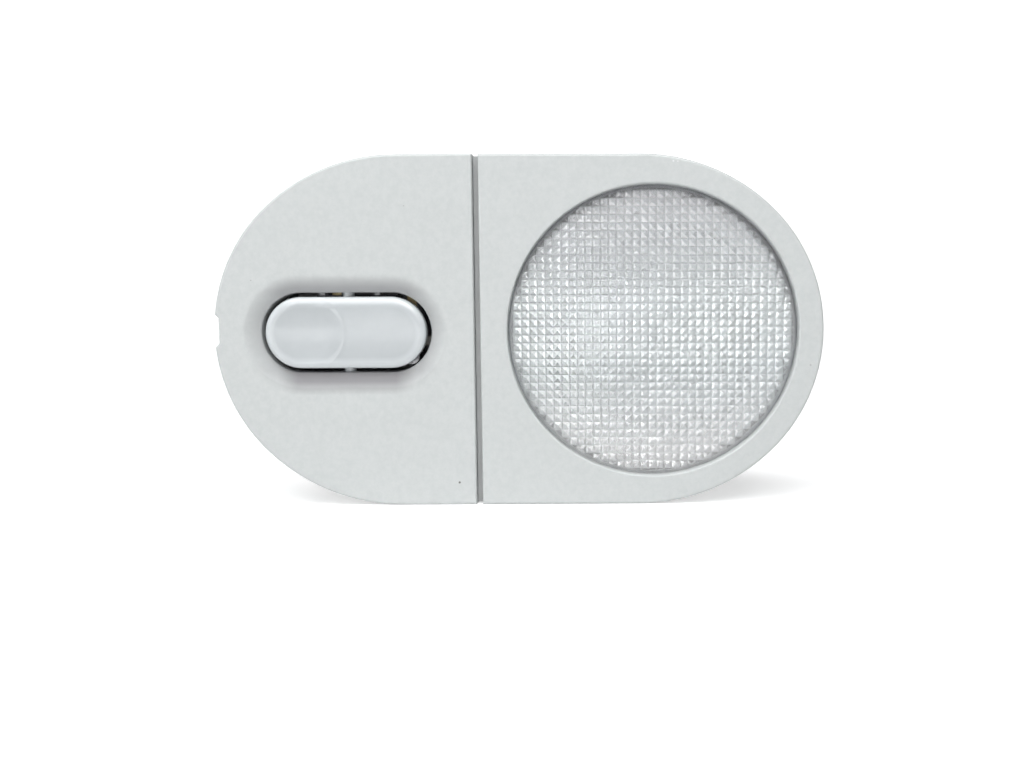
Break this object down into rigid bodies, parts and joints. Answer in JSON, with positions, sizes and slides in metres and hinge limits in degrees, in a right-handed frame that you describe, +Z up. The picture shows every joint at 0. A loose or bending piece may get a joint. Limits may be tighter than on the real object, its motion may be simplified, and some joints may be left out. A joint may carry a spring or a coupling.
{
  "type": "car interior light",
  "caption": "Long roof lamp with round ends: a dished recess with a three-position rocker on the left and a round prismatic lens on the right.",
  "frame": {"origin": "centre of the bounding box's bottom face, under the lamp's long lower edge", "axes": "+X to the right along the lamp's face, +Y from the face back into the roof, +Z up the face"},
  "size_m": [0.1512, 0.0286, 0.087],
  "materials": {
    "cover_plastic": "fine even grain, satin",
    "lens_plastic": "clear, smooth in front, square prisms behind",
    "housing_plastic": "satin",
    "reflector_sheet": "bright, slightly brushed",
    "rocker_plastic": "smooth, polished",
    "switch_plastic": "satin",
    "slider_plastic": "satin",
    "contact_metal": "plain",
    "spring_steel": "bright",
    "screw_steel": "zinc plated",
    "bulb_glass": "clear",
    "filament_wire": "dull",
    "cap_metal": "plain"
  },
  "bodies": {
    "lamp": {"switch_cover": "cover_plastic", "lens_cover": "cover_plastic", "lens": "lens_plastic", "base_housing": "housing_plastic", "reflector": "reflector_sheet", "switch_base": "switch_plastic", "detent_spring": "spring_steel", "switch_screws": "screw_steel", "lamp_contact": "contact_metal", "supply_contact": "contact_metal", "ground_terminal": "contact_metal", "door_terminal": "contact_metal", "bulb_glass": "bulb_glass", "bulb_filament": "filament_wire", "bulb_cap_left": "cap_metal", "bulb_cap_right": "cap_metal", "retaining_clip": "spring_steel", "clip_rivet": "screw_steel"},
    "rocker": {"rocker": "rocker_plastic"},
    "slider": {"contact_slider": "slider_plastic", "bridge_contact": "contact_metal", "contact_springs": "spring_steel"}
  },
  "joints": [
    {"name": "rocker_tilt", "type": "hinge", "parent": "lamp", "child": "rocker", "pos_m": [-0.0432, -0.00875, 0.0435], "axis": [0, 0, 1], "range_deg": [-9, 9], "deforming": ["detent_spring"]},
    {"name": "slider_slide", "type": "slide", "parent": "lamp", "child": "slider", "axis": [1, 0, 0], "range_m": [-0.00142, 0.00142]}
  ],
  "couplings": [
    {"joint": "slider_slide", "follows": "rocker_tilt", "m_per_rad": -0.009}
  ]
}
